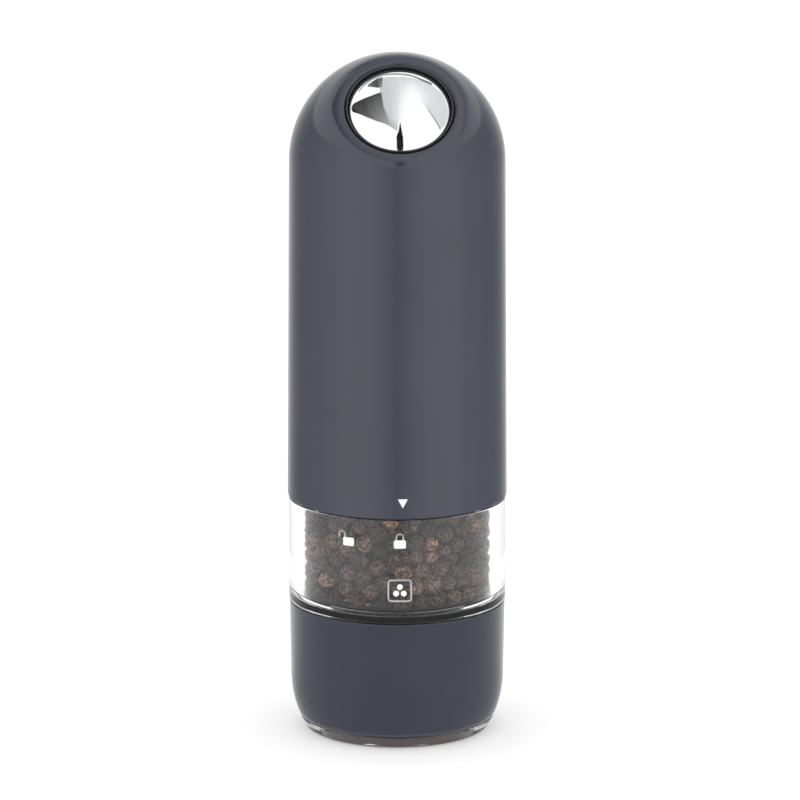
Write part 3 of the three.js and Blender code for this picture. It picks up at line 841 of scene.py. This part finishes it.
def studio():
    world = bpy.data.worlds.new("white_tent")
    bpy.context.scene.world = world
    world.use_nodes = True
    world.node_tree.nodes["Background"].inputs["Color"].default_value = (1, 1, 1, 1)
    world.node_tree.nodes["Background"].inputs["Strength"].default_value = 1.12

    overhead("tent_left_gap", [
        ((-0.65, 0.10, 0.03), (-0.64, 0.03, 0.03)), ((-0.58, 0.142, 0.05), (-0.56, -0.06, 0.03)),
        ((-0.374, 0.147, 0.05), (-0.41, -0.25, 0.12)), ((-0.27, 0.155, 0.07), (-0.306, -0.36, 0.24)),
        ((-0.159, 0.176, 0.08), (-0.165, -0.46, 0.36)),
    ], 0.02)
    overhead("tent_left_fade", [
        ((-0.166, -0.10, 0.30), (-0.166, -0.46, 0.36)), ((-0.117, -0.313, 0.62), (-0.11, -0.52, 0.46)),
        ((0.010, -0.421, 0.80), (-0.005, -0.62, 0.58)),
    ], 0.02)
    overhead("tent_back_gap", [
        ((-0.30, 0.42, 0.25), (-0.293, 0.383, 0.25)), ((-0.236, 0.489, 0.11), (-0.208, 0.305, 0.11)),
        ((-0.175, 0.549, 0.09), (-0.19, 0.29, 0.10)), ((-0.113, 0.556, 0.14), (-0.141, 0.281, 0.30)),
    ], 0.02)
    seam = [
        (-0.42, 0.36, 0.5), (-0.33, 0.48, 0.36), (-0.22, 0.58, 0.34), (-0.10, 0.635, 0.4),
        (0.043, 0.629, 0.42), (0.175, 0.613, 0.36), (0.312, 0.527, 0.22), (0.419, 0.499, 0.18),
    ]
    overhead("tent_back_seam", [((x, y + 0.035, b), (x, y - 0.035, b)) for x, y, b in seam], 0.02)
    overhead("tent_top", [
        ((-0.165, 0.55, 0.64), (-0.175, 0.20, 0.62), (-0.19, -0.22, 0.60)),
        ((-0.05, 0.555, 0.68), (-0.07, 0.12, 0.66), (-0.10, -0.40, 0.64)),
        ((0.04, 0.54, 0.70), (0.02, 0.10, 0.76), (0.0, -0.46, 0.84)),
        ((0.13, 0.55, 0.72), (0.10, 0.12, 0.96), (0.06, -0.40, 1.08)),
        ((0.23, 0.53, 0.74), (0.20, 0.16, 1.12), (0.17, -0.20, 1.12)),
        ((0.33, 0.51, 0.76), (0.30, 0.24, 0.94), (0.27, 0.0, 1.10)),
        ((0.44, 0.47, 0.77), (0.40, 0.20, 0.82), (0.36, -0.06, 0.88)),
        ((0.62, 0.36, 0.76), (0.52, 0.12, 0.76), (0.414, -0.123, 0.78)),
        ((0.80, 0.10, 0.74), (0.67, -0.08, 0.74), (0.545, -0.256, 0.75)),
        ((0.95, -0.25, 0.76), (0.85, -0.35, 0.76), (0.754, -0.453, 0.76)),
    ])
    overhead("tent_right_seam", [
        ((0.40, -0.09, 0.5), (0.405, -0.125, 0.5)), ((0.54, -0.23, 0.3), (0.55, -0.27, 0.3)),
        ((0.75, -0.42, 0.35), (0.76, -0.47, 0.35)),
    ], 0.02)
    overhead("tent_front_gap", [
        ((0.036, -0.422, 0.06), (0.040, -0.422, 0.06)), ((0.011, -0.606, 0.015), (0.062, -0.579, 0.015)),
        ((-0.026, -0.723, 0.012), (0.092, -0.787, 0.012)), ((-0.048, -1.4, 0.03), (0.125, -1.4, 0.03)),
        ((-0.075, -2.4, 0.04), (0.175, -2.4, 0.04)),
    ], 0.04)

    tent_ring("floor_near", (0.026, 0.0004), (0.17, 0.0004), [(0, 0.40), (80, 0.5), (106, 0.62), (122, 0.8),
                                                              (136, 1.0), (180, 1.15)])
    sides = [(0, 0.55), (18, 0.95), (30, 1.15), (57, 1.15), (83, 0.78), (106, 0.5), (122, 0.4), (136, 0.48),
             (152, 0.75), (170, 1.0), (180, 1.1)]
    tent_ring("floor_far", (0.17, 0.0004), (3.2, 0.0004), sides)
    tent_ring("tent_wall", (3.2, 0.0004), (3.0, 1.0), sides)

    floor_mesh = bpy.data.meshes.new("studio_floor")
    floor_mesh.from_pydata([(-6, -6, 0), (6, -6, 0), (6, 6, 0), (-6, 6, 0)], [], [(0, 1, 2, 3)])
    floor_mesh.materials.append(floor_material())
    floor = bpy.data.objects.new("studio_floor", floor_mesh)
    floor.location.z = -0.0002
    bpy.context.scene.collection.objects.link(floor)


def floor_material():
    """White backlit floor, with a warm dim patch where the mill's foot shuts out the light."""
    m, tree, shader = material("studio_floor", roughness=0.9, specular=0.1)
    coords = node(tree, "ShaderNodeTexCoord")
    reach = node(tree, "ShaderNodeVectorMath", operation="LENGTH")
    tree.links.new(coords.outputs["Object"], reach.inputs[0])
    scaled = node(tree, "ShaderNodeMath", operation="MULTIPLY")
    scaled.inputs[1].default_value = 1 / 0.1
    tree.links.new(reach.outputs["Value"], scaled.inputs[0])
    shade = ramp(tree, scaled.outputs["Value"], [
        (0.0, (0.10, 0.065, 0.062)), (0.195, (0.16, 0.11, 0.105)),
        (0.222, (0.55, 0.5, 0.5)), (0.26, (0.6, 0.6, 0.6)),
    ])
    glow = ramp(tree, scaled.outputs["Value"], [(0.0, 0.0), (0.2, 0.0), (0.225, 0.42), (0.5, 0.5)])
    tree.links.new(shade, shader.inputs["Base Color"])
    shader.inputs["Emission Color"].default_value = (1, 1, 1, 1)
    tree.links.new(glow, shader.inputs["Emission Strength"])
    return m


def camera():
    """A long lens, about 15 degrees above the mill and a little to its left."""
    distance, height, aim = 2.334, 0.678, 0.0827
    focal_in_frames = 9770 / 800
    data = bpy.data.cameras.new("photo_camera")
    data.sensor_width = 36
    data.lens = focal_in_frames * data.sensor_width
    data.shift_x = 2.8 / 800
    data.clip_end = 50
    obj = bpy.data.objects.new("photo_camera", data)
    obj.location = (distance * math.sin(CAMERA_TURN), -distance * math.cos(CAMERA_TURN), height)
    obj.rotation_euler = (Vector((0, 0, aim)) - obj.location).to_track_quat("-Z", "Y").to_euler()
    bpy.context.scene.collection.objects.link(obj)
    bpy.context.scene.camera = obj


studio()
camera()
bpy.context.scene.view_settings.view_transform = "Standard"
